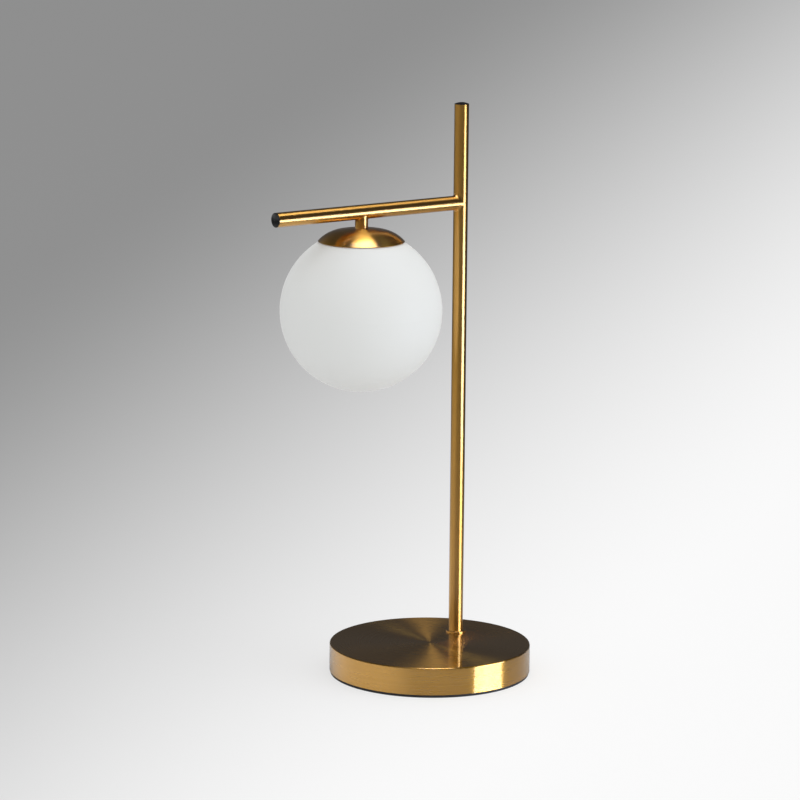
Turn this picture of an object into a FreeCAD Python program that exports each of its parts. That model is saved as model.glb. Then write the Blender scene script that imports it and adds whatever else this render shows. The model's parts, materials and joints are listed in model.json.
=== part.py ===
import FreeCAD, Part
import math
import os
import re
import Sketcher

# Glass globe table lamp: a weighted round foot, an off-centre post, an arm brazed across it
# and an opal globe that hangs under a shallow dome. Millimetres, +Z up, origin on the table
# under the middle of the foot. The arm runs towards -X.

sizes = {
    # foot
    "base_diameter": 177.5,
    "base_height": 26.5,
    "base_edge_radius": 1.2,
    "cover_wall": 1.2,
    "pad_thickness": 2.5,
    "pad_inset": 0.75,
    "plate_thickness": 2.0,
    "plate_clearance": 0.4,
    "weight_clearance": 9.55,
    "weight_thickness": 12.0,
    "weight_web": 3.0,
    "recess_diameter": 34.0,
    "boss_diameter": 12.0,
    "boss_inset": 16.0,
    "boss_turn": 60.0,
    "plate_screw_diameter": 4.0,
    "plate_screw_head": 8.0,
    "plate_screw_reach": 7.0,
    "slot_width": 1.0,
    "slot_depth": 0.9,
    # cord inlet
    "grommet_height": 14.5,
    "grommet_neck": 9.2,
    "grommet_bore": 6.2,
    "grommet_flange": 13.0,
    "grommet_flange_thickness": 1.5,
    # post
    "post_offset": 45.5,
    "arm_turn": 22.0,
    "post_diameter": 12.7,
    "post_length": 472.7,
    "tube_wall": 1.0,
    "foot_ring_diameter": 17.7,
    "foot_ring_thickness": 1.5,
    "foot_ring_edge": 0.4,
    "insert_length": 14.0,
    "nipple_diameter": 8.0,
    "nipple_bore": 5.6,
    "nipple_end": 0.4,
    "washer_diameter": 22.0,
    "washer_thickness": 1.0,
    "nut_flats": 13.0,
    "nut_thickness": 3.2,
    "thread_clearance": 0.05,
    "hole_clearance": 0.2,
    # end caps
    "cap_rim": 0.3,
    "cap_rise": 1.4,
    "cap_plug_length": 9.0,
    "cap_plug_wall": 1.5,
    # arm and stem
    "arm_height": 414.3,
    "arm_reach": 197.7,
    "arm_diameter": 12.6,
    "arm_window": 9.0,
    "stem_reach": 107.7,
    "stem_diameter": 11.3,
    "stem_bore": 7.0,
    "stem_drop": 14.0,
    "braze_radius": 2.4,
    "stem_braze_radius": 1.5,
    "braze_gap": 0.05,
    # dome
    "dome_diameter": 75.0,
    "dome_drop": 11.3,
    "dome_wall": 0.8,
    "crown_radius": 120.0,
    "crown_reach": 20.0,
    # globe
    "globe_diameter": 140.6,
    "globe_wall": 2.5,
    "globe_drop": 72.05,
    "collar_wall": 4.0,
    "collar_height": 9.4,
    "cement_gap": 0.1,
    "gasket_thickness": 0.8,
    "carrier_drop": 4.3,
    "carrier_boss": 18.0,
    "carrier_flange": 49.2,
    "flange_thickness": 1.2,
    "carrier_plate": 1.5,
    "skirt_diameter": 42.0,
    "skirt_wall": 2.0,
    "skirt_length": 8.4,
    "skirt_clearance": 0.2,
    # lampholder and bulb
    "lamp_nipple_entry": 4.7,
    "bracket_thickness": 1.0,
    "bracket_width": 12.0,
    "lamp_washer_diameter": 16.0,
    "holder_gap": 6.8,
    "holder_length": 22.0,
    "holder_width": 16.0,
    "holder_height": 18.0,
    "holder_clearance": 0.1,
    "rivet_diameter": 3.0,
    "rivet_head": 5.0,
    "rivet_depth": 4.0,
    "rivet_height": 13.0,
    "socket_length": 14.4,
    "socket_width": 7.4,
    "socket_depth": 8.5,
    "pin_spacing": 9.0,
    "pin_diameter": 1.2,
    "pin_length": 7.0,
    "contact_length": 3.4,
    "contact_width": 4.4,
    "contact_height": 6.5,
    "tongue_length": 13.6,
    "tongue_width": 6.6,
    "tongue_height": 13.6,
    "bulb_diameter": 16.8,
    "bulb_base_height": 6.0,
    "bulb_glass_length": 34.0,
    "bulb_glass_wall": 1.0,
    "led_width": 5.0,
    "led_length": 24.0,
    # wiring
    "lead_diameter": 4.6,
    "core_diameter": 1.8,
    "core_spacing": 2.3,
    "core_tail": 4.0,
    "lead_height": 8.6,
    "lead_shift": 2.4,
    "lead_bend_foot": 9.0,
    "lead_bend_arm": 18.0,
    "lead_bend_stem": 11.0,
    "lead_bend_slack": 200.0,
    "lead_slack_height": 60.0,
    "terminal_length": 20.0,
    "terminal_width": 17.0,
    "terminal_place": 10.0,
    "terminal_spacing": 10.4,
    "terminal_floor_gap": 0.4,
    "barrel_diameter": 4.0,
    "barrel_bore": 2.6,
    "clamp_screw_diameter": 2.4,
    "clamp_screw_spacing": 11.0,
    "clamp_gap": 0.1,
    "block_screw_diameter": 3.0,
    "block_screw_head": 5.4,
    "block_screw_head_height": 1.8,
    "block_screw_bite": 5.0,
}

# Sizes and places that follow from the driving ones.
derived = {
    "base_radius": "base_diameter / 2",
    "cover_ceiling": "base_height - cover_wall",
    "weight_radius": "base_radius - cover_wall - weight_clearance",
    "weight_floor": "cover_ceiling - weight_thickness",
    "boss_reach": "weight_radius - boss_inset",
    "plate_top": "pad_thickness + plate_thickness",
    "web_floor": "cover_ceiling - weight_web",
    "washer_floor": "web_floor - washer_thickness",
    "nut_floor": "washer_floor - nut_thickness",
    "nipple_floor": "nut_floor - nipple_end",
    "thread_radius": "nipple_diameter / 2 + thread_clearance",
    "post_x": "post_offset * cos(arm_turn)",
    "post_y": "post_offset * sin(arm_turn)",
    "post_radius": "post_diameter / 2",
    "post_bore": "post_radius - tube_wall",
    "post_floor": "base_height + foot_ring_thickness",
    "post_top": "post_floor + post_length",
    "arm_radius": "arm_diameter / 2",
    "arm_bore": "arm_radius - tube_wall",
    "arm_end": "post_x - arm_reach",
    "stem_x": "post_x - stem_reach",
    "stem_radius": "stem_diameter / 2",
    "dome_top": "arm_height - stem_drop",
    "dome_rim": "dome_top - dome_drop",
    "dome_ceiling": "dome_top - dome_wall",
    "dome_radius": "dome_diameter / 2",
    "lamp_nipple_top": "dome_top + lamp_nipple_entry",
    "carrier_top": "dome_ceiling - carrier_drop",
    "flange_floor": "carrier_top - flange_thickness",
    "carrier_floor": "carrier_top - carrier_plate",
    "skirt_floor": "flange_floor - skirt_length",
    "skirt_radius": "skirt_diameter / 2",
    "skirt_inside": "skirt_radius - skirt_wall",
    "collar_bore": "skirt_radius + skirt_clearance",
    "collar_radius": "collar_bore + collar_wall",
    "collar_top": "flange_floor - gasket_thickness",
    "collar_floor": "collar_top - collar_height",
    "globe_height": "dome_top - globe_drop",
    "globe_radius": "globe_diameter / 2",
    "globe_inside": "globe_radius - globe_wall",
    "globe_mouth": "collar_radius + cement_gap",
    "bracket_floor": "carrier_floor - bracket_thickness",
    "lamp_washer_floor": "bracket_floor - washer_thickness",
    "lamp_nut_floor": "lamp_washer_floor - nut_thickness",
    "lamp_nipple_floor": "lamp_nut_floor - nipple_end",
    "holder_top": "lamp_nipple_floor - holder_gap",
    "holder_floor": "holder_top - holder_height",
    "rivet_level": "holder_floor + rivet_height",
    "bracket_inside": "holder_length / 2 + holder_clearance",
    "bracket_outside": "bracket_inside + bracket_thickness",
    "tongue_top": "holder_floor + socket_depth - holder_clearance",
    "bulb_base_top": "tongue_top - tongue_height",
    "bulb_base_floor": "bulb_base_top - bulb_base_height",
    "pin_top": "tongue_top + pin_length",
    "socket_top": "holder_floor + socket_depth",
    "contact_floor": "socket_top + holder_clearance * 8",
    "contact_top": "contact_floor + contact_height",
    "lead_radius": "lead_diameter / 2",
    "lead_level": "arm_height + lead_shift",
    "terminal_floor": "plate_top + terminal_floor_gap",
    "terminal_height": "weight_floor - terminal_floor",
    "terminal_end": "terminal_place + terminal_length / 2",
}

doc = FreeCAD.newDocument("GlobeLamp")
sheet = doc.addObject("Spreadsheet::Sheet", "Sizes")
for line, (alias, number) in enumerate(sizes.items(), start=1):
    sheet.set(f"A{line}", alias)
    sheet.set(f"B{line}", str(number))
    sheet.setAlias(f"B{line}", alias)
doc.recompute()


def bound(text):
    # The expression with each derived name written out and each size read from the sheet.
    def swap(match):
        word = match.group(0)
        if word in derived:
            return "(" + bound(derived[word]) + ")"
        return "Sizes." + word if word in sizes else word
    return re.sub(r"[a-z_]+", swap, str(text))


def value(text):
    return float(sheet.evalExpression(bound(text)))


def bind(thing, path, text):
    thing.setExpression(path, bound(text))


def place(thing, at=("0", "0", "0"), rotation=None, turn=None):
    # at is a place given by expressions; turn swings the piece about +Z through the origin.
    if rotation is not None:
        thing.Placement = FreeCAD.Placement(FreeCAD.Vector(), rotation)
    for letter, text in zip("xyz", at):
        bind(thing, "Placement.Base." + letter, text)
    if turn is not None:
        bind(thing, "Placement.Rotation.Angle", turn)
    return thing


towards_arm = FreeCAD.Rotation(FreeCAD.Vector(0, 1, 0), -90)
outwards = FreeCAD.Rotation(FreeCAD.Vector(0, 1, 0), 90)
sideways = FreeCAD.Rotation(FreeCAD.Vector(1, 0, 0), -90)


def rod(name, radius, length, at=("0", "0", "0"), rotation=None):
    cylinder = doc.addObject("Part::Cylinder", name)
    bind(cylinder, "Radius", radius)
    bind(cylinder, "Height", length)
    return place(cylinder, at, rotation)


def block(name, length, width, height, centre, floor):
    # A box centred on a place in plan, standing on a level.
    box = doc.addObject("Part::Box", name)
    bind(box, "Length", length)
    bind(box, "Width", width)
    bind(box, "Height", height)
    corner = (f"{centre[0]} - ({length}) / 2", f"{centre[1]} - ({width}) / 2", floor)
    return place(box, corner)


def joined(name, pieces):
    fuse = doc.addObject("Part::MultiFuse", name)
    fuse.Shapes = pieces
    return fuse


def cut(name, base, *tools):
    result = doc.addObject("Part::Cut", name)
    result.Base = base
    result.Tool = tools[0] if len(tools) == 1 else joined(name + "_tools", list(tools))
    return result


def cut_in_turn(name, base, *tools):
    # Faces stay as they are cut, because joining them again spoils the filler fillets.
    for step, tool in enumerate(tools, start=1):
        base = cut(f"{name}_{step}", base, tool)
        base.Refine = False
    return base


def group(name, pieces):
    compound = doc.addObject("Part::Compound", name)
    compound.Links = pieces
    return compound


def arc_between(start, end, radius, way):
    # The shorter arc from start to end; way is +1 for anticlockwise and -1 for clockwise.
    chord = end - start
    rise = math.sqrt(max(radius ** 2 - (chord.Length / 2) ** 2, 0))
    normal = FreeCAD.Vector(-chord.y, chord.x, 0).normalize() * way
    centre = (start + end) / 2 + normal * rise
    first, last = (start, end) if way > 0 else (end, start)
    angles = [math.atan2(p.y - centre.y, p.x - centre.x) for p in (first, last)]
    circle = Part.Circle(centre, FreeCAD.Vector(0, 0, 1), radius)
    return Part.ArcOfCircle(circle, angles[0], angles[1])


def outline_sketch(body, name, outline):
    # A closed outline in the XZ plane. Each corner is (radius, height), and a corner that an arc
    # leads to also has the arc's radius and its way round.
    plane = next(p for p in body.Origin.OriginFeatures if p.Role == "XZ_Plane")
    sketch = body.newObject("Sketcher::SketchObject", name)
    sketch.AttachmentSupport = [(plane, "")]
    sketch.MapMode = "FlatFace"
    corners = [FreeCAD.Vector(value(c[0]), value(c[1]), 0) for c in outline]
    ends = []
    for index, corner in enumerate(outline):
        start, end = corners[index - 1], corners[index]
        if len(corner) > 2:
            radius, way = corner[2], corner[3]
            edge = sketch.addGeometry(arc_between(start, end, value(radius), way), False)
            ends.append((edge, 1, 2) if way > 0 else (edge, 2, 1))
            number = sketch.addConstraint(Sketcher.Constraint("Radius", edge, value(radius)))
            sketch.renameConstraint(number, f"bend_{index}")
            bind(sketch, f"Constraints.bend_{index}", radius)
        else:
            edge = sketch.addGeometry(Part.LineSegment(start, end), False)
            ends.append((edge, 1, 2))
    for index, (edge, start, end) in enumerate(ends):
        following, next_start, _ = ends[(index + 1) % len(ends)]
        sketch.addConstraint(Sketcher.Constraint("Coincident", edge, end, following, next_start))
        for axis, text in (("X", outline[index][0]), ("Y", outline[index][1])):
            if text == "0":
                line = -2 if axis == "X" else -1
                sketch.addConstraint(Sketcher.Constraint("PointOnObject", edge, end, line))
                continue
            rule = Sketcher.Constraint("Distance" + axis, -1, 1, edge, end, value(text))
            number = sketch.addConstraint(rule)
            sketch.renameConstraint(number, f"{axis.lower()}_{index}")
            bind(sketch, f"Constraints.{axis.lower()}_{index}", text)
    return sketch


def turned(name, outline, at=("0", "0", "0"), rotation=None):
    body = doc.addObject("PartDesign::Body", name)
    sketch = outline_sketch(body, name + "_outline", outline)
    revolution = body.newObject("PartDesign::Revolution", name + "_turning")
    revolution.Profile = sketch
    revolution.ReferenceAxis = (sketch, ["V_Axis"])
    revolution.Angle = 360
    body.Tip = revolution
    return place(body, at, rotation)


def ring(name, outside, inside, floor, height, at=("0", "0")):
    outline = [
        (inside, floor),
        (outside, floor),
        (outside, f"{floor} + {height}"),
        (inside, f"{floor} + {height}"),
    ]
    return turned(name, outline, (at[0], at[1], "0"))


def hexagon(name, flats, bore, floor, height, at):
    prism = doc.addObject("Part::Prism", name + "_blank")
    prism.Polygon = 6
    bind(prism, "Circumradius", f"{flats} / 2 / cos(30)")
    bind(prism, "Height", height)
    place(prism, (at[0], at[1], floor))
    return cut(name, prism, rod(name + "_bore", bore, height, (at[0], at[1], floor)))


nodes = {}


def node(name, thing, turn=None):
    thing.Label = name
    if turn is not None:
        bind(thing, "Placement.Rotation.Angle", turn)
    nodes[name] = thing
    return thing


# Pieces of the foot are drawn with +X from the middle of the foot to the post, then turned.
post_here = ("post_offset", "0")
post_at = ("post_x", "post_y")
stem_at = ("stem_x", "post_y")


def foot_cover():
    shell = turned("cover_shell", [
        ("0", "cover_ceiling"),
        ("0", "base_height"),
        ("base_radius - base_edge_radius", "base_height"),
        ("base_radius", "base_height - base_edge_radius", "base_edge_radius", -1),
        ("base_radius", "pad_thickness"),
        ("base_radius - cover_wall", "pad_thickness"),
        ("base_radius - cover_wall", "cover_ceiling"),
    ])
    depth = "cover_wall * 4"
    post_hole = rod("cover_post_hole", "nipple_diameter / 2 + hole_clearance", depth,
                    (*post_here, "base_height - cover_wall * 2"))
    cord_hole = rod("cover_cord_hole", "grommet_neck / 2 + thread_clearance", depth,
                    ("base_radius - cover_wall * 2", "0", "grommet_height"), outwards)
    node("base_cover", cut("base_cover_cut", shell, post_hole, cord_hole), "arm_turn")


def boss_places():
    # Three bosses, clear of the post.
    return [(f"boss_reach * cos(boss_turn + {step * 120})",
             f"boss_reach * sin(boss_turn + {step * 120})") for step in range(3)]


def foot_weight():
    disc = rod("weight_disc", "weight_radius", "weight_thickness", ("0", "0", "weight_floor"))
    bosses = [rod(f"weight_boss_{i}", "boss_diameter / 2", "cover_ceiling - plate_top",
                  (*spot, "plate_top")) for i, spot in enumerate(boss_places())]
    screw_holes = [rod(f"weight_screw_hole_{i}", "plate_screw_diameter / 2 + thread_clearance",
                       "plate_screw_reach + 1", (*spot, "plate_top"))
                   for i, spot in enumerate(boss_places())]
    recess = rod("weight_recess", "recess_diameter / 2", "web_floor - weight_floor",
                 (*post_here, "weight_floor"))
    post_hole = rod("weight_post_hole", "nipple_diameter / 2 + hole_clearance",
                    "weight_thickness", (*post_here, "weight_floor"))
    block_hole = rod("weight_block_hole", "block_screw_diameter / 2 + thread_clearance",
                     "block_screw_bite + 1", ("terminal_place", "0", "weight_floor"))
    blank = joined("weight_blank", [disc, *bosses])
    weight = cut("base_weight_cut", blank, recess, post_hole, block_hole, *screw_holes)
    node("base_weight", weight, "arm_turn")


def foot_plate():
    plate = rod("plate_disc", "base_radius - cover_wall - plate_clearance", "plate_thickness",
                ("0", "0", "pad_thickness"))
    sinks = []
    for i, spot in enumerate(boss_places()):
        sink = doc.addObject("Part::Cone", f"plate_sink_{i}")
        bind(sink, "Radius1", "plate_screw_head / 2 + thread_clearance")
        bind(sink, "Radius2", "plate_screw_diameter / 2 + thread_clearance")
        bind(sink, "Height", "plate_thickness")
        sinks.append(place(sink, (*spot, "pad_thickness")))
    node("bottom_plate", cut("bottom_plate_cut", plate, *sinks), "arm_turn")


def plate_screws():
    screws = []
    for i, spot in enumerate(boss_places()):
        shaft = turned(f"plate_screw_{i}", [
            ("0", "0"),
            ("plate_screw_head / 2", "0"),
            ("plate_screw_diameter / 2", "plate_thickness"),
            ("plate_screw_diameter / 2", "plate_thickness + plate_screw_reach"),
            ("0", "plate_thickness + plate_screw_reach"),
        ], (*spot, "pad_thickness"))
        slot = block(f"plate_screw_slot_{i}", "plate_screw_head", "slot_width", "slot_depth",
                     spot, "pad_thickness")
        screws.append(cut(f"plate_screw_cut_{i}", shaft, slot))
    node("bottom_plate_screws", group("plate_screw_group", screws), "arm_turn")


def foot_pad():
    edge = "pad_inset / 2"
    radius = "base_radius - pad_inset"
    node("foot_pad", turned("foot_pad_disc", [
        ("0", "0"),
        (f"{radius} - {edge}", "0"),
        (radius, edge, edge, 1),
        (radius, "pad_thickness"),
        ("0", "pad_thickness"),
    ]))


def cord_grommet():
    # A stepped bush snapped into the rear wall. The flanges keep off the curved wall.
    reach = "base_radius"
    sag = "(base_radius - sqrt(base_radius * base_radius - grommet_flange * grommet_flange / 4))"
    inner = f"(cover_wall + {sag} * 2)"
    neck = "grommet_neck / 2"
    flange = "grommet_flange / 2"
    small_flange = "(grommet_flange - grommet_flange_thickness) / 2"
    lip = "grommet_flange_thickness"
    bush = turned("grommet_bush", [
        ("grommet_bore / 2", f"0 - {inner} - {lip}"),
        (small_flange, f"0 - {inner} - {lip}"),
        (small_flange, f"0 - {inner}"),
        (neck, f"0 - {inner}"),
        (neck, "0"),
        (flange, "0"),
        (f"{flange} - {lip} / 2", lip, f"{lip}", 1),
        ("grommet_bore / 2", lip),
    ], (reach, "0", "grommet_height"), outwards)
    node("cord_grommet", group("grommet_group", [bush]), "arm_turn")


def post():
    foot = turned("foot_ring_turned", [
        ("nipple_diameter / 2 + hole_clearance", "base_height"),
        ("foot_ring_diameter / 2", "base_height"),
        ("foot_ring_diameter / 2", "post_floor - foot_ring_edge"),
        ("foot_ring_diameter / 2 - foot_ring_edge", "post_floor", "foot_ring_edge", 1),
        ("nipple_diameter / 2 + hole_clearance", "post_floor"),
    ], (*post_at, "0"))
    node("foot_ring", foot)
    tube = ring("post_pipe", "post_radius", "post_bore", "post_floor", "post_length", post_at)
    window = rod("post_window", "arm_window / 2", "post_diameter",
                 (*post_at, "arm_height"), towards_arm)
    node("post_tube", cut("post_tube_cut", tube, window))
    node("post_insert", ring("post_insert_turned", "post_bore - thread_clearance",
                             "thread_radius", "post_floor", "insert_length", post_at))
    top = "post_floor + insert_length - nipple_end"
    node("post_nipple", ring("post_nipple_turned", "nipple_diameter / 2", "nipple_bore / 2",
                             "nipple_floor", f"({top} - nipple_floor)", post_at))
    node("post_washer", ring("post_washer_turned", "washer_diameter / 2",
                             "nipple_diameter / 2 + hole_clearance", "washer_floor",
                             "washer_thickness", post_at))
    node("post_nut", hexagon("post_nut_cut", "nut_flats", "thread_radius", "nut_floor",
                             "nut_thickness", post_at))


def end_cap(name, radius, bore, at, rotation=None):
    # A domed head that covers the tube's end and a hollow plug pushed into it.
    plug = f"({bore} - thread_clearance)"
    rise = "cap_rise"
    dome = f"(({radius} * {radius} + {rise} * {rise}) / (2 * {rise}))"
    node(name, turned(name + "_turned", [
        ("0", "0"),
        (f"{plug} - cap_plug_wall", "0"),
        (f"{plug} - cap_plug_wall", "0 - cap_plug_length"),
        (plug, "0 - cap_plug_length"),
        (plug, "0"),
        (radius, "0"),
        (radius, "cap_rim"),
        ("0", "cap_rim + cap_rise", dome, 1),
    ], at, rotation))


def brazed(name, tube, partner, radius):
    # A tube joined to its partner with a filler fillet, before the partner is cut away.
    both = doc.addObject("Part::Fuse", name + "_both")
    both.Base = partner
    both.Tool = tube
    doc.recompute()
    seams = [i for i, edge in enumerate(both.Shape.Edges, start=1)
             if not isinstance(edge.Curve, (Part.Line, Part.Circle))]
    fillet = doc.addObject("Part::Fillet", name + "_fillet")
    fillet.Base = both
    size = value(radius)
    fillet.Edges = [(i, size, size) for i in seams]
    return fillet


def arm():
    # Drawn along -X from the post's axis, then put at its height on the post.
    solid = rod("arm_rod", "arm_radius", "arm_reach", rotation=towards_arm)
    stub = rod("arm_post_stub", "post_radius", "post_diameter * 4",
               ("0", "0", "0 - post_diameter * 2"))
    blank = brazed("arm", solid, stub, "braze_radius")
    cope = rod("arm_cope", "post_radius + braze_gap", "post_diameter * 6",
               ("0", "0", "0 - post_diameter * 3"))
    bore = rod("arm_bore", "arm_bore", "arm_reach + 1", rotation=towards_arm)
    hole = rod("arm_stem_hole", "stem_bore / 2", "arm_radius",
               ("0 - stem_reach", "0", "0 - arm_radius"))
    tube = cut_in_turn("arm_tube_cut", blank, cope, bore, hole)
    node("arm_tube", place(tube, (*post_at, "arm_height")))


def stem():
    # Drawn upwards from the dome to the arm, which crosses it.
    solid = rod("stem_rod", "stem_radius", "stem_drop")
    half = "(stem_diameter * 1.5)"
    across = rod("stem_arm_stub", "arm_radius", f"{half} * 2", (half, "0", "stem_drop"),
                 towards_arm)
    blank = brazed("stem", solid, across, "stem_braze_radius")
    cope = rod("stem_cope", "arm_radius + braze_gap", f"{half} * 4",
               (f"{half} * 2", "0", "stem_drop"), towards_arm)
    bore = rod("stem_wire_bore", "stem_bore / 2", "stem_drop")
    thread = rod("stem_thread", "thread_radius", "lamp_nipple_entry + nipple_end")
    tube = cut_in_turn("stem_tube_cut", blank, cope, bore, thread)
    node("stem_tube", place(tube, (*stem_at, "dome_top")))


def dome():
    # The crown is a large arc; the shoulder is tangent to it and ends at the rim. The outside
    # and the inside share both centres.
    crown, reach = value("crown_radius"), value("crown_reach")
    rim = FreeCAD.Vector(value("dome_radius"), value("dome_rim"), 0)
    crown_centre = FreeCAD.Vector(0, value("dome_top") - crown, 0)
    lean = math.asin(reach / crown)
    out = FreeCAD.Vector(math.sin(lean), math.cos(lean), 0)
    meet = crown_centre + out * crown
    chord = rim - meet
    shoulder = chord.Length ** 2 / (-2 * chord.dot(out))
    shoulder_centre = meet - out * shoulder
    wall = value("dome_wall")
    hole = value("nipple_diameter / 2 + hole_clearance")
    inner_rim = rim + (shoulder_centre - rim).normalize() * wall
    inner_meet = crown_centre + out * (crown - wall)

    def on_crown(radius):
        return FreeCAD.Vector(hole, crown_centre.y + math.sqrt(radius ** 2 - hole ** 2), 0)

    def middle(centre, radius, start, end):
        half_way = ((start + end) / 2 - centre).normalize()
        return centre + half_way * radius

    def arc(centre, radius, start, end):
        return Part.Arc(start, middle(centre, radius, start, end), end).toShape()

    top, ceiling = on_crown(crown), on_crown(crown - wall)
    edges = [
        arc(crown_centre, crown, top, meet),
        arc(shoulder_centre, shoulder, meet, rim),
        Part.makeLine(rim, inner_rim),
        arc(shoulder_centre, shoulder - wall, inner_rim, inner_meet),
        arc(crown_centre, crown - wall, inner_meet, ceiling),
        Part.makeLine(ceiling, top),
    ]
    face = Part.Face(Part.Wire(edges))
    face.rotate(FreeCAD.Vector(), FreeCAD.Vector(1, 0, 0), 90)
    shell = doc.addObject("Part::Feature", "dome_spinning")
    shell.Shape = face.revolve(FreeCAD.Vector(), FreeCAD.Vector(0, 0, 1), 360)
    shell.Placement = FreeCAD.Placement(FreeCAD.Vector(value("stem_x"), value("post_y"), 0),
                                        FreeCAD.Rotation())
    node("dome_cap", shell)


def lamp_fixings():
    node("lamp_nipple", ring("lamp_nipple_turned", "nipple_diameter / 2", "nipple_bore / 2",
                             "lamp_nipple_floor", "(lamp_nipple_top - lamp_nipple_floor)",
                             stem_at))
    node("lamp_washer", ring("lamp_washer_turned", "lamp_washer_diameter / 2",
                             "nipple_diameter / 2 + hole_clearance", "lamp_washer_floor",
                             "washer_thickness", stem_at))
    node("lamp_nut", hexagon("lamp_nut_cut", "nut_flats", "thread_radius", "lamp_nut_floor",
                             "nut_thickness", stem_at))


def globe_carrier():
    hole = "nipple_diameter / 2 + hole_clearance"
    sag = "carrier_boss * carrier_boss / 8 / (crown_radius - dome_wall)"
    seat = f"dome_ceiling - {sag} - thread_clearance"
    node("globe_carrier", turned("carrier_turned", [
        (hole, "carrier_floor"),
        ("skirt_inside", "carrier_floor"),
        ("skirt_inside", "skirt_floor"),
        ("skirt_radius", "skirt_floor"),
        ("skirt_radius", "flange_floor"),
        ("carrier_flange / 2", "flange_floor"),
        ("carrier_flange / 2", "carrier_top"),
        ("carrier_boss / 2", "carrier_top"),
        ("carrier_boss / 2", seat),
        (hole, seat),
    ], (*stem_at, "0")))


def globe():
    node("globe_gasket", ring("gasket_turned", "collar_radius", "collar_bore", "collar_top",
                              "gasket_thickness", stem_at))
    node("globe_collar", ring("collar_turned", "collar_radius", "collar_bore", "collar_floor",
                              "collar_height", stem_at))
    mouth = "globe_mouth"
    outside = f"sqrt(globe_radius * globe_radius - {mouth} * {mouth})"
    inside = f"sqrt(globe_inside * globe_inside - {mouth} * {mouth})"
    node("globe", turned("globe_blown", [
        ("0", "0 - globe_radius"),
        ("globe_radius", "0", "globe_radius", 1),
        (mouth, outside, "globe_radius", 1),
        (mouth, inside),
        ("globe_inside", "0", "globe_inside", -1),
        ("0", "0 - globe_inside", "globe_inside", -1),
    ], (*stem_at, "globe_height")))


def lampholder():
    wide, deep = "bracket_outside * 2", "bracket_width"
    height = "carrier_floor - rivet_level + rivet_head"
    blank = block("bracket_blank", wide, deep, height, stem_at, f"carrier_floor - ({height})")
    hollow = block("bracket_hollow", "bracket_inside * 2", "bracket_width * 2",
                   f"{height} - bracket_thickness", stem_at, f"carrier_floor - ({height})")
    hole = rod("bracket_hole", "nipple_diameter / 2 + hole_clearance", "bracket_thickness * 4",
               (*stem_at, "bracket_floor - bracket_thickness"))
    rivet_line = rod("bracket_rivet_hole", "rivet_diameter / 2 + thread_clearance",
                     "bracket_outside * 4",
                     ("stem_x + bracket_outside * 2", "post_y", "rivet_level"), towards_arm)
    node("holder_bracket", cut("bracket_cut", blank, hollow, hole, rivet_line))

    body = block("holder_blank", "holder_length", "holder_width", "holder_height", stem_at,
                 "holder_floor")
    socket = block("holder_socket", "socket_length", "socket_width", "socket_depth", stem_at,
                   "holder_floor")
    tools = [socket]
    contacts = []
    pins = []
    rivets = []
    for side, sign in (("left", "-"), ("right", "+")):
        line = f"stem_x {sign} pin_spacing / 2"
        spot = (line, "post_y")
        tools.append(block(f"holder_chamber_{side}", "contact_length + holder_clearance * 2",
                           "contact_width + holder_clearance * 2", "holder_top - contact_floor",
                           spot, "contact_floor"))
        tools.append(rod(f"holder_pin_way_{side}", "pin_diameter / 2 + hole_clearance",
                         "contact_floor - socket_top + holder_clearance",
                         (*spot, "socket_top - holder_clearance")))
        contact = block(f"contact_{side}", "contact_length", "contact_width", "contact_height",
                        spot, "contact_floor")
        way = rod(f"contact_way_{side}", "pin_diameter / 2 + thread_clearance",
                  "contact_height", (*spot, "contact_floor"))
        contacts.append(cut(f"contact_cut_{side}", contact, way))
        pins.append(rod(f"bulb_pin_{side}", "pin_diameter / 2", "pin_length",
                        (*spot, "tongue_top")))
        rotation = towards_arm if sign == "-" else outwards
        inner_end = f"stem_x {sign} (holder_length / 2 - rivet_depth)"
        tools.append(rod(f"holder_rivet_hole_{side}", "rivet_diameter / 2 + thread_clearance",
                         "rivet_depth * 2", (inner_end, "post_y", "rivet_level"), rotation))
        shank = rod(f"rivet_shank_{side}", "rivet_diameter / 2",
                    "rivet_depth + holder_clearance + bracket_thickness",
                    (inner_end, "post_y", "rivet_level"), rotation)
        head = rod(f"rivet_head_{side}", "rivet_head / 2", "bracket_thickness",
                   (f"stem_x {sign} bracket_outside", "post_y", "rivet_level"), rotation)
        rivets.append(joined(f"rivet_{side}", [shank, head]))
    node("lampholder", cut("holder_cut", body, *tools))
    node("lampholder_contacts", group("contact_group", contacts))
    node("lampholder_rivets", group("rivet_group", rivets))
    node("bulb_pins", group("bulb_pin_group", pins))


def bulb():
    tongue = block("bulb_tongue", "tongue_length", "tongue_width", "tongue_height", stem_at,
                   "bulb_base_top")
    disc = rod("bulb_disc", "bulb_diameter / 2", "bulb_base_height",
               (*stem_at, "bulb_base_floor"))
    node("bulb_base", joined("bulb_base_blank", [tongue, disc]))
    radius = "(bulb_diameter / 2)"
    inside = "(bulb_diameter / 2 - bulb_glass_wall)"
    straight = "(bulb_glass_length - bulb_diameter / 2)"
    node("bulb_glass", turned("bulb_glass_blown", [
        ("0", f"0 - bulb_glass_length"),
        (radius, f"0 - {straight}", radius, 1),
        (radius, "0"),
        (inside, "0"),
        (inside, f"0 - {straight}"),
        ("0", "bulb_glass_wall - bulb_glass_length", inside, -1),
    ], (*stem_at, "bulb_base_floor")))
    node("bulb_led_strip", block("led_block", "led_width", "led_width", "led_length", stem_at,
                                 "bulb_base_floor - led_length"))


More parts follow.
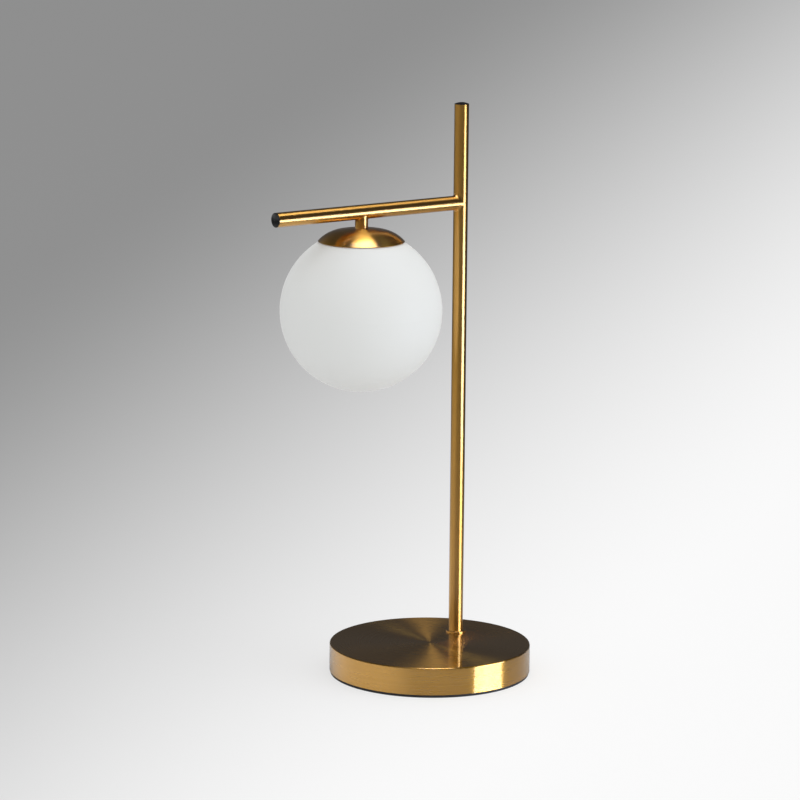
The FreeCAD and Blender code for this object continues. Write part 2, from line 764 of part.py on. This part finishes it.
def terminal():
    place_here = ("terminal_place", "0")
    blank = block("terminal_blank", "terminal_length", "terminal_width", "terminal_height",
                  place_here, "terminal_floor")
    fixing = rod("terminal_fixing_hole", "block_screw_diameter / 2 + hole_clearance",
                 "terminal_height", (*place_here, "terminal_floor"))
    sink = rod("terminal_fixing_sink", "block_screw_head / 2 + hole_clearance",
               "block_screw_head_height + hole_clearance", (*place_here, "terminal_floor"))
    tools = [fixing, sink]
    barrels = []
    screws = []
    for row, sign in enumerate("-+"):
        line = f"0 {sign} terminal_spacing / 2"
        start = "terminal_place - terminal_length / 2"
        tools.append(rod(f"terminal_way_{row}", "barrel_diameter / 2 + thread_clearance",
                         "terminal_length", (start, line, "lead_height"), outwards))
        barrel = rod(f"barrel_{row}", "barrel_diameter / 2", "terminal_length - 2",
                     (f"{start} + 1", line, "lead_height"), outwards)
        bore = rod(f"barrel_bore_{row}", "barrel_bore / 2", "terminal_length",
                   (start, line, "lead_height"), outwards)
        threads = []
        for column, step in enumerate("-+"):
            spot = (f"terminal_place {step} clamp_screw_spacing / 2", line)
            bottom = "terminal_floor + slot_depth / 2"
            top = "lead_height - core_diameter / 2 - clamp_gap"
            hole = "clamp_screw_diameter / 2 + thread_clearance"
            tools.append(rod(f"clamp_way_{row}_{column}", hole, "lead_height - terminal_floor",
                             (*spot, "terminal_floor")))
            threads.append(rod(f"clamp_thread_{row}_{column}", hole,
                               "lead_height - terminal_floor", (*spot, "terminal_floor")))
            screws.append(rod(f"clamp_screw_{row}_{column}", "clamp_screw_diameter / 2",
                              f"{top} - ({bottom})", (*spot, bottom)))
        barrels.append(cut(f"barrel_cut_{row}", barrel, bore, *threads))
    node("terminal_block", cut("terminal_cut", blank, *tools), "arm_turn")
    node("terminal_barrels", group("barrel_group", barrels), "arm_turn")
    node("terminal_clamp_screws", group("clamp_screw_group", screws), "arm_turn")
    head = rod("block_screw_head", "block_screw_head / 2", "block_screw_head_height",
               (*place_here, "terminal_floor"))
    shank = rod("block_screw_shank", "block_screw_diameter / 2",
                "terminal_height + block_screw_bite", (*place_here, "terminal_floor"))
    node("terminal_screw", joined("terminal_screw_blank", [head, shank]), "arm_turn")


def rounded_path(points, radii):
    # Straight runs between the points, joined by tangent arcs of the given radii.
    edges = []
    start = points[0]
    for before, corner, after, radius in zip(points, points[1:], points[2:], radii):
        back = (before - corner).normalize()
        ahead = (after - corner).normalize()
        half = back.getAngle(ahead) / 2
        reach = radius / math.tan(half)
        first, last = corner + back * reach, corner + ahead * reach
        bisector = (back + ahead).normalize()
        centre = corner + bisector * (radius / math.sin(half))
        middle = centre - bisector * radius
        edges.append(Part.makeLine(start, first))
        edges.append(Part.Arc(first, middle, last).toShape())
        start = last
    edges.append(Part.makeLine(start, points[-1]))
    return Part.Wire(edges)


def tube_along(path, radius):
    first = path.Edges[0]
    direction = first.tangentAt(first.FirstParameter)
    profile = Part.Wire(Part.makeCircle(radius, first.valueAt(first.FirstParameter), direction))
    tube = path.makePipeShell([profile], True, False)
    expected = math.pi * radius ** 2 * path.Length
    print(f"tube of radius {radius}: volume {tube.Volume:.1f}, section times length {expected:.1f}")
    return tube


def wiring():
    def at(x, y, z):
        return FreeCAD.Vector(value(x), value(y), value(z))

    def foot_at(x, y, z):
        turn = FreeCAD.Rotation(FreeCAD.Vector(0, 0, 1), value("arm_turn"))
        return turn.multVec(at(x, y, z))

    bends = [value("lead_bend_" + name) for name in ("foot", "slack", "arm", "stem")]
    route = rounded_path([
        foot_at("terminal_end + core_tail", "0", "lead_height"),
        foot_at("post_offset", "0", "lead_height"),
        at("post_x", "post_y", "lead_slack_height"),
        at("post_x + lead_shift", "post_y", "lead_level"),
        at("stem_x", "post_y", "lead_level"),
        at("stem_x", "post_y", "lamp_nipple_floor"),
    ], bends)
    lead = doc.addObject("Part::Feature", "lead_sheath")
    lead.Shape = tube_along(route, value("lead_radius"))
    node("internal_lead", lead)

    core = value("core_diameter") / 2
    foot_cores = []
    lamp_cores = []
    for sign in "-+":
        inner = f"0 {sign} core_spacing / 2"
        barrel = f"0 {sign} terminal_spacing / 2"
        tail = rounded_path([
            foot_at("terminal_end - core_tail * 2", barrel, "lead_height"),
            foot_at("terminal_end + core_tail / 4", barrel, "lead_height"),
            foot_at("terminal_end + core_tail * 3 / 4", inner, "lead_height"),
            foot_at("terminal_end + core_tail", inner, "lead_height"),
        ], [core * 1.1, core * 1.1])
        foot_cores.append(tube_along(tail, core))
        drop = "holder_gap"
        contact = f"stem_x {sign} pin_spacing / 2"
        tail = rounded_path([
            at(f"stem_x {sign} core_spacing / 2", "post_y", "lamp_nipple_floor"),
            at(f"stem_x {sign} core_spacing / 2", "post_y", f"lamp_nipple_floor - {drop} / 4"),
            at(contact, "post_y", f"lamp_nipple_floor - {drop} * 3 / 4"),
            at(contact, "post_y", "contact_top"),
        ], [core * 1.5, core * 1.5])
        lamp_cores.append(tube_along(tail, core))
    for name, tubes in (("lead_cores_foot", foot_cores), ("lead_cores_lamp", lamp_cores)):
        cores = doc.addObject("Part::Feature", name + "_pair")
        cores.Shape = Part.makeCompound(tubes)
        node(name, cores)


foot_cover()
foot_weight()
foot_plate()
plate_screws()
foot_pad()
cord_grommet()
post()
end_cap("post_cap", "post_radius", "post_bore", (*post_at, "post_top"))
end_cap("arm_cap", "arm_radius", "arm_bore", ("arm_end", "post_y", "arm_height"), towards_arm)
arm()
stem()
dome()
lamp_fixings()
globe_carrier()
globe()
lampholder()
bulb()
terminal()
wiring()
doc.recompute()

faults = [thing.Name for thing in doc.Objects if {"Invalid", "Error"} & set(thing.State)]
faults += [name for name, thing in nodes.items()
           if thing.Shape.isNull() or not thing.Shape.isValid() or not thing.Shape.Solids]
if faults:
    raise RuntimeError("these pieces failed: " + ", ".join(faults))

os.makedirs("parts", exist_ok=True)
for name, thing in nodes.items():
    thing.Shape.exportStep(os.path.join("parts", name + ".step"))
    box = thing.Shape.BoundBox
    print(f"{name}: {len(thing.Shape.Solids)} solid(s), {thing.Shape.Volume / 1000:.2f} cm3, "
          f"z {box.ZMin:.1f} to {box.ZMax:.1f}")
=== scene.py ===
import bpy
import json
import math
from mathutils import Matrix, Vector


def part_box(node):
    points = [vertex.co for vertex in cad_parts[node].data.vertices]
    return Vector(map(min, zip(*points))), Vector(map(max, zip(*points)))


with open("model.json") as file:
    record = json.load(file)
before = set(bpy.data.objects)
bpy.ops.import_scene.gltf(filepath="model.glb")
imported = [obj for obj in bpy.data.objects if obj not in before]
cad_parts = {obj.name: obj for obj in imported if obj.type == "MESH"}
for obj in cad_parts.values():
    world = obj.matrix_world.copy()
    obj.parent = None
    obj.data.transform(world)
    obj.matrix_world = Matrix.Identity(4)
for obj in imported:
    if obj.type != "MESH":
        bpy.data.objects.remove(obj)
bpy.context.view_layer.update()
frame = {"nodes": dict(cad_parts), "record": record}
print("frame loaded with", len(frame["nodes"]), "nodes")

noiseSpan = (0.3, 0.7)  # nearly all of a noise lies between these values


class Nodes:
    # Short ways to add and join the nodes of a material or of the world.
    def __init__(self, tree):
        self.tree = tree
        self.tree.nodes.clear()

    def add(self, kind, **values):
        node = self.tree.nodes.new(kind)
        for name, value in values.items():
            setattr(node, name, value)
        return node

    def feed(self, socket, value):
        # An output is linked to the socket, and a number or colour is typed into it.
        if isinstance(value, bpy.types.NodeSocket):
            self.tree.links.new(value, socket)
        else:
            socket.default_value = value

    def math(self, operation, *values):
        node = self.add("ShaderNodeMath", operation=operation)
        for socket, value in zip(node.inputs, values):
            self.feed(socket, value)
        return node.outputs[0]

    def vector(self, operation, *values, out="Vector"):
        node = self.add("ShaderNodeVectorMath", operation=operation)
        for socket, value in zip(node.inputs, values):
            self.feed(socket, value)
        return node.outputs[out]

    def separate(self, vector):
        node = self.add("ShaderNodeSeparateXYZ")
        self.feed(node.inputs[0], vector)
        return node.outputs

    def combine(self, *values):
        node = self.add("ShaderNodeCombineXYZ")
        for socket, value in zip(node.inputs, values):
            self.feed(socket, value)
        return node.outputs[0]

    def noise(self, vector, scale, detail=2.0, roughness=0.5, out="Fac"):
        node = self.add("ShaderNodeTexNoise")
        node.inputs["Scale"].default_value = scale
        node.inputs["Detail"].default_value = detail
        node.inputs["Roughness"].default_value = roughness
        self.feed(node.inputs["Vector"], vector)
        return node.outputs[out]

    def ramp(self, factor, stops):
        node = self.add("ShaderNodeValToRGB")
        elements = node.color_ramp.elements
        for index, (position, color) in enumerate(stops):
            while len(elements) <= index:
                elements.new(1.0)
            elements[index].position = position
            elements[index].color = (*color, 1.0)
        self.feed(node.inputs["Fac"], factor)
        return node.outputs["Color"]

    def mapRange(self, value, low, high, start, end, smooth=False):
        # From start to end of the value, the result goes from low to high.
        node = self.add("ShaderNodeMapRange")
        if smooth:
            node.interpolation_type = "SMOOTHSTEP"
        for name, number in (("From Min", start), ("From Max", end),
                             ("To Min", low), ("To Max", high)):
            node.inputs[name].default_value = number
        self.feed(node.inputs["Value"], value)
        return node.outputs["Result"]

    def mix(self, factor, first, second):
        node = self.add("ShaderNodeMixShader")
        for socket, value in zip(node.inputs, (factor, first, second)):
            self.feed(socket, value)
        return node.outputs[0]

    def light(self, kind, color):
        # A Background or Emission node of strength 1.
        node = self.add(kind)
        self.feed(node.inputs["Color"], color)
        return node.outputs[0]


class Graph(Nodes):
    # A material with one Principled shader.
    def __init__(self, name):
        self.material = bpy.data.materials.new(name)
        self.material.use_nodes = True
        super().__init__(self.material.node_tree)
        self.output = self.add("ShaderNodeOutputMaterial")
        self.shader = self.add("ShaderNodeBsdfPrincipled")
        self.feed(self.output.inputs["Surface"], self.shader.outputs["BSDF"])

    def place(self, centre=(0, 0, 0)):
        coordinates = self.add("ShaderNodeTexCoord")
        return self.vector("SUBTRACT", coordinates.outputs["Object"], centre)

    def bump(self, height, strength, distance=0.0005):
        node = self.add("ShaderNodeBump")
        node.inputs["Strength"].default_value = strength
        node.inputs["Distance"].default_value = distance
        self.feed(node.inputs["Height"], height)
        self.feed(self.shader.inputs["Normal"], node.outputs["Normal"])

    def set(self, **values):
        for name, value in values.items():
            self.feed(self.shader.inputs[name.replace("_", " ")], value)


# Turned and brushed brass: the foot, then the dome, then the tubes and the ring.
brassLook = {
    "color": (0.73, 0.388, 0.066), "darker": (0.66, 0.345, 0.055),
    "brushLines": 1300.0, "lineStretch": 0.8, "lineDetail": 3.0, "lineContrast": 0.7,
    "cloudScale": 35.0, "cloudDetail": 3.0, "cloudContrast": 0.6,
    "roughness": 0.285, "streaky": 0.02, "patchy": 0.01,
    "anisotropy": 0.97, "quarterTurn": 0.25, "bump": 0.01,
    "coat": 1.0, "coatRoughness": 0.03, "coatIor": 1.6,
    "wander": 0.018, "wanderLines": 450.0, "wanderTurns": 2.5, "wanderDetail": 3.0,
    "middle": 1.0, "middleRadius": 0.018,
}
domeLook = dict(brassLook, roughness=0.30, coat=0.8, coatRoughness=0.2, coatIor=1.5, middle=0.0)
tubeLook = dict(brassLook, color=(0.73, 0.385, 0.07), darker=(0.69, 0.36, 0.064),
                brushLines=6000.0, lineStretch=0.2, roughness=0.33, streaky=0.008,
                patchy=0.004, anisotropy=0.89, bump=0.0, coatRoughness=0.22, coatIor=1.5,
                wander=0.0)


def brushedBrass(name, look, centre, axis):
    # Fine grooves run round the axis, as a lathe leaves them.
    graph = Graph(name)
    place = graph.place(centre)
    parts = graph.separate(place)
    along, sideA, sideB = {"Z": ("Z", "X", "Y"), "X": ("X", "Y", "Z")}[axis]
    radius = graph.math("SQRT", graph.math("ADD", graph.math("POWER", parts[sideA], 2.0),
                                           graph.math("POWER", parts[sideB], 2.0)))
    angle = graph.math("ARCTAN2", parts[sideB], parts[sideA])

    def rings(count, turns):
        return graph.combine(graph.math("MULTIPLY", radius, count),
                             graph.math("MULTIPLY", parts[along], count),
                             graph.math("MULTIPLY", angle, turns))

    lines = graph.noise(rings(look["brushLines"], look["lineStretch"]), 1.0,
                        look["lineDetail"], look["lineContrast"])
    clouds = graph.noise(place, look["cloudScale"], look["cloudDetail"], look["cloudContrast"])
    tone = graph.add("ShaderNodeMix", data_type="RGBA")
    tone.inputs["A"].default_value = (*look["color"], 1)
    tone.inputs["B"].default_value = (*look["darker"], 1)
    graph.feed(tone.inputs["Factor"], graph.mapRange(lines, 0.0, 1.0, *noiseSpan))
    streaks = graph.mapRange(lines, look["roughness"] - look["streaky"],
                             look["roughness"] + look["streaky"], *noiseSpan)
    patches = graph.mapRange(clouds, -look["patchy"], look["patchy"], *noiseSpan)
    if look["bump"]:
        graph.bump(lines, look["bump"])
    grooves = graph.add("ShaderNodeTangent", direction_type="RADIAL", axis=axis).outputs[0]
    if look["wander"]:
        # The brush marks wander a little, and on the foot more at the middle of the disc.
        drift = graph.noise(rings(look["wanderLines"], look["wanderTurns"]), 1.0,
                            look["wanderDetail"], out="Color")
        most = graph.mapRange(radius, look["wander"] + look["middle"], look["wander"],
                              0.0, look["middleRadius"])
        swing = graph.add("ShaderNodeVectorMath", operation="SCALE")
        graph.feed(swing.inputs[0], graph.vector("SUBTRACT", drift, (0.5, 0.5, 0.5)))
        graph.feed(swing.inputs["Scale"], most)
        grooves = graph.vector("ADD", grooves, swing.outputs[0])
    graph.set(Base_Color=tone.outputs["Result"], Roughness=graph.math("ADD", patches, streaks),
              Tangent=grooves, Metallic=1.0, Anisotropic=look["anisotropy"],
              Anisotropic_Rotation=look["quarterTurn"], Coat_Weight=look["coat"],
              Coat_Roughness=look["coatRoughness"], Coat_IOR=look["coatIor"])
    return graph.material


# The finishes of the small and hidden pieces, by the record's material slot.
plainLooks = {
    "black_foam": {"color": (0.018, 0.018, 0.018), "roughness": 0.75, "grain": 0.3},
    "black_rubber": {"color": (0.02, 0.02, 0.02), "roughness": 0.55, "grain": 0.1},
    "black_plastic": {"color": (0.005, 0.005, 0.0055), "roughness": 0.35, "grain": 0.08},
    "iron": {"color": (0.10, 0.10, 0.11), "roughness": 0.7, "metallic": 0.7, "grain": 0.4},
    "zinc": {"color": (0.62, 0.63, 0.65), "roughness": 0.35, "metallic": 1.0, "grain": 0.05},
    "white_plastic": {"color": (0.78, 0.77, 0.74), "roughness": 0.45, "grain": 0.05},
    "ceramic": {"color": (0.82, 0.79, 0.72), "roughness": 0.6, "grain": 0.2},
    "contact_brass": {"color": (0.78, 0.56, 0.26), "roughness": 0.3, "metallic": 1.0,
                      "grain": 0.05},
    "copper": {"color": (0.85, 0.45, 0.27), "roughness": 0.35, "metallic": 1.0, "grain": 0.2},
    "clear_glass": {"color": (0.98, 0.98, 0.98), "roughness": 0.03, "transmission": 1.0},
    "led": {"color": (0.9, 0.75, 0.25), "roughness": 0.5, "grain": 0.1},
    "cable": {"color": (0.75, 0.75, 0.73), "roughness": 0.5, "grain": 0.05},
    "gasket_rubber": {"color": (0.72, 0.72, 0.70), "roughness": 0.4},
}
wearLook = {
    "cloudScale": 60.0, "cloudDetail": 3.0, "cloudContrast": 0.6, "darker": 0.85,
    "smoother": 0.85, "rougher": 1.1,
    "grainScale": 1500.0, "grainDetail": 2.0, "grainContrast": 0.6,
}


def plain(name, color, roughness, metallic=0.0, grain=0.0, transmission=0.0):
    # A moulded or cast finish, a little darker and smoother in patches, with a fine grain.
    graph = Graph(name)
    place = graph.place()
    clouds = graph.noise(place, wearLook["cloudScale"], wearLook["cloudDetail"],
                         wearLook["cloudContrast"])
    dark = tuple(part * wearLook["darker"] for part in color)
    rough = graph.mapRange(clouds, roughness * wearLook["smoother"],
                           min(1.0, roughness * wearLook["rougher"]), *noiseSpan)
    if grain:
        graph.bump(graph.noise(place, wearLook["grainScale"], wearLook["grainDetail"],
                               wearLook["grainContrast"]), grain)
    graph.set(Base_Color=graph.ramp(clouds, list(zip(noiseSpan, (dark, color)))),
              Roughness=rough, Metallic=metallic, Transmission_Weight=transmission)
    return graph.material


globeLook = {
    "color": (0.772, 0.782, 0.767), "darker": 0.985, "cloudScale": 12.0,
    "roughness": 0.72, "patchy": 0.03, "sheen": 0.45, "sheenRoughness": 0.2,
}


def opalGlass(look):
    # White glass with a satin face, and a soft sheen that brightens its outline.
    graph = Graph("opal_glass")
    clouds = graph.noise(graph.place(), look["cloudScale"])
    dark = tuple(part * look["darker"] for part in look["color"])
    rough = graph.mapRange(clouds, look["roughness"] - look["patchy"],
                           look["roughness"] + look["patchy"], *noiseSpan)
    graph.set(Base_Color=graph.ramp(clouds, list(zip(noiseSpan, (dark, look["color"])))),
              Roughness=rough, Sheen_Weight=look["sheen"], Sheen_Roughness=look["sheenRoughness"])
    return graph.material


looks = {name: plain(name, **look) for name, look in plainLooks.items()}
looks["opal_glass"] = opalGlass(globeLook)
slots = {piece["node"]: piece["material_slot"] for piece in frame["record"]["subparts"]}
for name, node in frame["nodes"].items():
    slot = slots[name]
    if slot in ("brass", "brass_polished"):
        look = domeLook if name == "dome_cap" else brassLook if slot == "brass" else tubeLook
        centre = tuple((a + b) / 2 for a, b in zip(*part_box(name)))
        axis = "X" if name == "arm_tube" else "Z"
        material = brushedBrass("brushed_brass_" + name, look, centre, axis)
    else:
        material = looks[slot]
    node.data.materials.clear()
    node.data.materials.append(material)
print("materials given to", len(frame["nodes"]), "nodes")

cameraLook = {
    "place": (-1.92068, -2.50308, 0.86184),
    "right": (0.79974839, -0.60027321, 0.00863578),
    "up": (0.10842767, 0.15857745, 0.98137487),
    "lens": 165.351, "sensor": 36.0, "clipEnd": 20.0,
}
cameraData = bpy.data.cameras.new("camera")
cameraData.lens = cameraLook["lens"]
cameraData.sensor_width = cameraLook["sensor"]
cameraData.clip_end = cameraLook["clipEnd"]
camera = bpy.data.objects.new("camera", cameraData)
bpy.context.scene.collection.objects.link(camera)
right, up = Vector(cameraLook["right"]), Vector(cameraLook["up"])
turn = Matrix((right, up, right.cross(up))).transposed().to_4x4()
camera.matrix_world = Matrix.Translation(cameraLook["place"]) @ turn
bpy.context.scene.camera = camera
print("camera placed")


def direction(azimuth, elevation):
    # Seen from the lamp, in degrees: 0, 0 is towards the camera and 90, 0 is to its right.
    front = Vector((right.y, -right.x, 0)).normalized()
    side = Vector((right.x, right.y, 0)).normalized()
    a, e = math.radians(azimuth), math.radians(elevation)
    return (front * math.cos(a) + side * math.sin(a)) * math.cos(e) + Vector((0, 0, math.sin(e)))


# Panels for matte surfaces and panels for shine are separate, so that each is set on its own.
lightLook = {
    "right": {"azimuth": 68.0, "distance": 6.0, "bottom": 0.2, "height": 2.6, "width": 5.0,
              "matte": 1.9, "matteTint": (0.97, 1.0, 1.05)},
    "low": {"azimuth": 68.0, "distance": 0.85, "bottom": 0.01, "height": 0.27, "width": 0.56,
            "gloss": 8.0, "glossTint": (0.95, 1.10, 1.38)},
    "upper": {"azimuth": 68.0, "distance": 0.87, "bottom": 0.28, "height": 0.16, "width": 0.22,
              "gloss": 8.0, "glossTint": (0.95, 1.10, 1.38)},
    "top": {"azimuth": 20.0, "distance": 0.20, "bottom": 1.5, "height": 0.0, "width": 0.66,
            "matte": 0.9, "matteTint": (1.0, 1.0, 1.0),
            "gloss": 7.4, "glossTint": (1.0, 1.02, 1.25)},
}
panelGap = 0.01  # a gloss panel hangs this much in front of its matte one


def softbox(name, look, radiance, tint, forward=0.0):
    # A panel that stands round the lamp, or lies flat over it where its height is 0.
    away = direction(look["azimuth"], 0.0)
    tall = look["height"] or look["width"]
    data = bpy.data.lights.new(name, "AREA")
    data.shape = "RECTANGLE"
    data.size, data.size_y = look["width"], tall
    data.energy = radiance * math.pi * look["width"] * tall
    data.color = tint
    lamp = bpy.data.objects.new(name, data)
    bpy.context.scene.collection.objects.link(lamp)
    height = look["bottom"] - forward + look["height"] / 2
    lamp.location = away * (look["distance"] - forward) + Vector((0, 0, height))
    facing = away if look["height"] else Vector((0, 0, 1))
    lamp.rotation_euler = facing.to_track_quat("Z", "Y").to_euler()
    lamp.visible_camera = False
    return lamp


for name, look in lightLook.items():
    if "matte" in look:
        lamp = softbox("softbox_" + name, look, look["matte"], look["matteTint"])
        lamp.visible_glossy = False
    if "gloss" in look:
        lamp = softbox("shine_" + name, look, look["gloss"], look["glossTint"], panelGap)
        lamp.visible_diffuse = False
print("panels hung:", len(lightLook))

# Matte surfaces get an even light, metal mirrors a dim room with a bright left side, and
# the camera sees one plain tone behind the floor.
worldLook = {
    "matte": 0.86, "seen": 0.52,
    "room": [(0.0, 0.22), (0.05, 0.16), (0.16, 0.06), (0.5, 0.05), (1.0, 0.06)],
    "left": -85.0, "leftHeight": 5.0, "level": 0.95, "edge": 0.25, "core": 0.9,
    "full": 0.15, "top": 0.42,
}
world = bpy.data.worlds.new("studio")
bpy.context.scene.world = world
world.use_nodes = True
sky = Nodes(world.node_tree)
ray = sky.add("ShaderNodeTexCoord").outputs["Generated"]
height = sky.separate(ray)["Z"]
room = sky.ramp(height, [(rise, (level,) * 3) for rise, level in worldLook["room"]])
toward = sky.vector("DOT_PRODUCT", ray, direction(worldLook["left"], worldLook["leftHeight"]),
                    out="Value")
side = sky.mapRange(toward, 0.0, worldLook["level"], worldLook["edge"], worldLook["core"],
                    smooth=True)
under = sky.mapRange(height, 1.0, 0.0, worldLook["full"], worldLook["top"], smooth=True)
mirrored = sky.vector("MULTIPLY_ADD", side, under, room)
path = sky.add("ShaderNodeLightPath").outputs
lit = sky.mix(path["Is Diffuse Ray"], sky.light("ShaderNodeBackground", mirrored),
              sky.light("ShaderNodeBackground", (*[worldLook["matte"]] * 3, 1)))
shown = sky.mix(path["Is Camera Ray"], lit,
                sky.light("ShaderNodeBackground", (*[worldLook["seen"]] * 3, 1)))
sky.feed(sky.add("ShaderNodeOutputWorld").inputs["Surface"], shown)
print("world set")

floorLook = {
    "size": 80.0, "color": (0.92, 0.92, 0.92), "roughness": 0.9,
    # what the camera sees: painted light, a pool on the floor that pales to the right and widens
    # with the distance
    "share": 0.7, "dim": 0.05, "bright": 1.0, "fanFrom": -0.22, "fanTo": -0.004,
    "slant": 0.353, "shift": 0.185, "apex": 5.0, "narrowest": 2.0,
    "fallFrom": 1.0, "fallTo": 3.0, "fallEnd": 0.5, "farFrom": 7.0, "farTo": 22.0,
    # what brass and glass mirror: a shine under the lamp, and painted shade that darkens the
    # floor further off
    "shine": 0.82, "shineRoughness": 0.12, "shineFrom": 0.30, "shineTo": 0.55,
    "shadeLeft": 0.35, "shadeFrom": 0.4, "shadeTo": 1.1, "shadeNear": 0.40, "shadeFar": 0.97,
}
bpy.ops.mesh.primitive_plane_add(size=floorLook["size"], location=(0, 0, 0))
floor = bpy.context.object
floor.name = "floor"
paint = Graph("floor_paint")
paint.set(Base_Color=(*floorLook["color"], 1), Roughness=floorLook["roughness"],
          Specular_IOR_Level=0.0)
spot = paint.place()
reach = paint.vector("LENGTH", spot, out="Value")
path = paint.add("ShaderNodeLightPath").outputs
seen = path["Is Camera Ray"]

across = paint.vector("DOT_PRODUCT", spot, direction(90.0, 0.0), out="Value")
ahead = paint.vector("DOT_PRODUCT", spot, -direction(0.0, 0.0), out="Value")
leaning = paint.math("MULTIPLY_ADD", ahead, -floorLook["slant"], -floorLook["shift"])
spread = paint.math("MAXIMUM", paint.math("ADD", ahead, floorLook["apex"]),
                    floorLook["narrowest"])
fan = paint.math("DIVIDE", paint.math("ADD", across, leaning), spread)
# Painted light: the camera sees the floor glow as a pool of light that brightens towards the
# right.
paintedLightPool = paint.mapRange(fan, floorLook["dim"], floorLook["bright"], floorLook["fanFrom"],
                      floorLook["fanTo"], smooth=True)
# The painted light halves towards the far right.
fall = paint.mapRange(across, 1.0, floorLook["fallEnd"], floorLook["fallFrom"],
                      floorLook["fallTo"])
floorWithPaintedPool = paint.mix(paint.math("MULTIPLY", seen, floorLook["share"]), paint.shader.outputs["BSDF"],
                   paint.light("ShaderNodeEmission", paint.math("MULTIPLY", paintedLightPool, fall)))
distant = paint.mapRange(reach, 0.0, 1.0, floorLook["farFrom"], floorLook["farTo"], smooth=True)
horizon = paint.mix(paint.math("MULTIPLY", seen, distant), floorWithPaintedPool,  # no hard line far off
                    paint.light("ShaderNodeEmission", (*[worldLook["seen"]] * 3, 1)))

mirrored = paint.math("MAXIMUM", path["Is Glossy Ray"], path["Is Transmission Ray"])
shiny = paint.math("MULTIPLY", mirrored, paint.mapRange(
    reach, floorLook["shine"], 0.0, floorLook["shineFrom"], floorLook["shineTo"]))
sheen = paint.add("ShaderNodeBsdfGlossy")
sheen.inputs["Roughness"].default_value = floorLook["shineRoughness"]
paint.feed(sheen.inputs["Color"], paint.combine(shiny, shiny, shiny))
waxed = paint.add("ShaderNodeAddShader")
paint.feed(waxed.inputs[0], horizon)
paint.feed(waxed.inputs[1], sheen.outputs[0])
shadeCentre = direction(90.0, 0.0) * -floorLook["shadeLeft"]
span = paint.vector("LENGTH", paint.place(shadeCentre), out="Value")
# Painted shade: in what brass and glass mirror, the floor is mixed with black, partly near a
# point left of the lamp and nearly fully further off.
paintedShadeFade = paint.mapRange(span, floorLook["shadeNear"], floorLook["shadeFar"],
                      floorLook["shadeFrom"], floorLook["shadeTo"])
floorWithPaintedLight = paint.mix(paint.math("MULTIPLY", mirrored, paintedShadeFade), waxed.outputs[0],
                  paint.light("ShaderNodeEmission", (0, 0, 0, 1)))
paint.feed(paint.output.inputs["Surface"], floorWithPaintedLight)
floor.data.materials.append(paint.material)
print("floor painted")

bpy.context.scene.view_settings.view_transform = "Standard"
